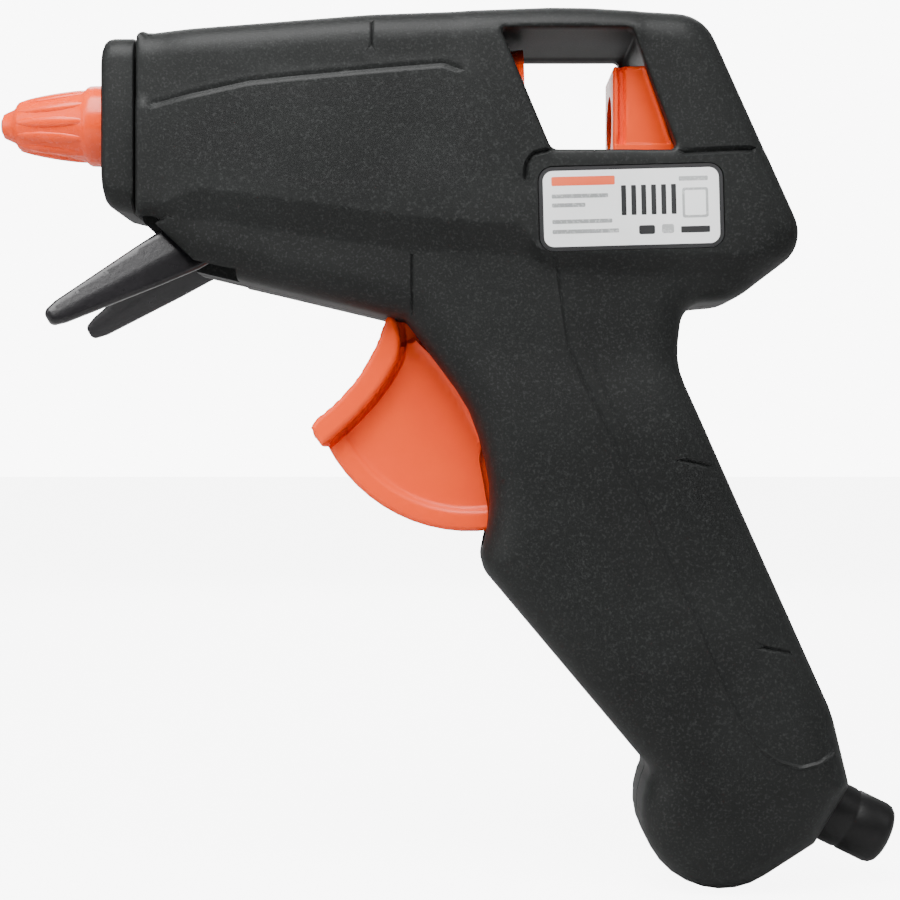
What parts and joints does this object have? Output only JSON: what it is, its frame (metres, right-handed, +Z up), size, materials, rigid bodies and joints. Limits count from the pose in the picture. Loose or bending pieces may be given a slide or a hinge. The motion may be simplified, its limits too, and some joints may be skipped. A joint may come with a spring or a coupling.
{
  "type": "hot glue gun",
  "caption": "Trigger-fed hot glue gun in a split charcoal casing, with an orange silicone nozzle cap, orange trigger, see-through feed window, fold-out stand and a cord boot.",
  "frame": {"origin": "the nozzle's outlet, on the axis of the glue stick", "axes": "-X is the way the nozzle points and +X runs back along the glue stick, +Z is up with the handle below, +Y is to the gun's right-hand side, across its thickness"},
  "size_m": [0.187, 0.0486, 0.1796],
  "materials": {
    "charcoal_plastic": "fine spark-eroded grain",
    "orange_silicone": "glossy",
    "orange_plastic": "satin",
    "aluminium": "as cast and turned",
    "steel": "plain",
    "brass": "plain",
    "dark_ceramic": "sintered",
    "amber_film": "glossy film",
    "black_rubber": "matte",
    "white_plastic": "plain",
    "grey_plastic": "plain",
    "label_film": "printed film"
  },
  "bodies": {
    "casing": {"casing_left": "charcoal_plastic", "casing_right": "charcoal_plastic", "casing_screws": "steel", "nose_collar": "charcoal_plastic", "nozzle_cap": "orange_silicone", "nozzle": "aluminium", "nozzle_ball": "steel", "nozzle_spring": "steel", "spring_retainer": "brass", "melt_chamber": "aluminium", "ptc_heater": "dark_ceramic", "heater_electrodes": "brass", "heater_insulation": "amber_film", "heater_clip": "steel", "inlet_sleeve": "orange_silicone", "sleeve_clip": "steel", "stick_guide_ring": "charcoal_plastic", "trigger_pin": "steel", "trigger_spring": "steel", "stand_pin": "steel", "cable_boot": "black_rubber", "cord_clamp": "charcoal_plastic", "cord_clamp_screws": "steel", "terminal_block": "white_plastic", "terminal_screws": "brass", "heater_lead_front": "white_plastic", "heater_lead_rear": "grey_plastic", "rating_label": "label_film"},
    "trigger": {"trigger": "orange_plastic", "drive_pin": "steel"},
    "carriage": {"carriage": "orange_plastic", "pawl_pin": "steel"},
    "pawl": {"clamp_pawl": "steel"},
    "stand": {"stand": "charcoal_plastic"}
  },
  "joints": [
    {"name": "trigger_pull", "type": "hinge", "parent": "casing", "child": "trigger", "pos_m": [0.1035, 0, -0.0505], "axis": [0, -1, 0], "range_deg": [0, 24], "stiffness_Nm_per_rad": 0.6, "springref_deg": -8.59, "deforming": ["trigger_spring"]},
    {"name": "carriage_slide", "type": "slide", "parent": "casing", "child": "carriage", "axis": [-1, 0, 0], "range_m": [0, 0.0138]},
    {"name": "pawl_bite", "type": "hinge", "parent": "carriage", "child": "pawl", "pos_m": [0.1374, 0, -0.0094], "axis": [0, 1, 0], "range_deg": [0, 6.2]},
    {"name": "stand_fold", "type": "hinge", "parent": "casing", "child": "stand", "pos_m": [0.042, 0, -0.0252], "axis": [0, -1, 0], "range_deg": [0, 78]}
  ],
  "couplings": [
    {"joint": "carriage_slide", "follows": "trigger_pull", "m_per_rad": 0.03276},
    {"joint": "pawl_bite", "follows": "trigger_pull", "ratio": 0.25}
  ]
}
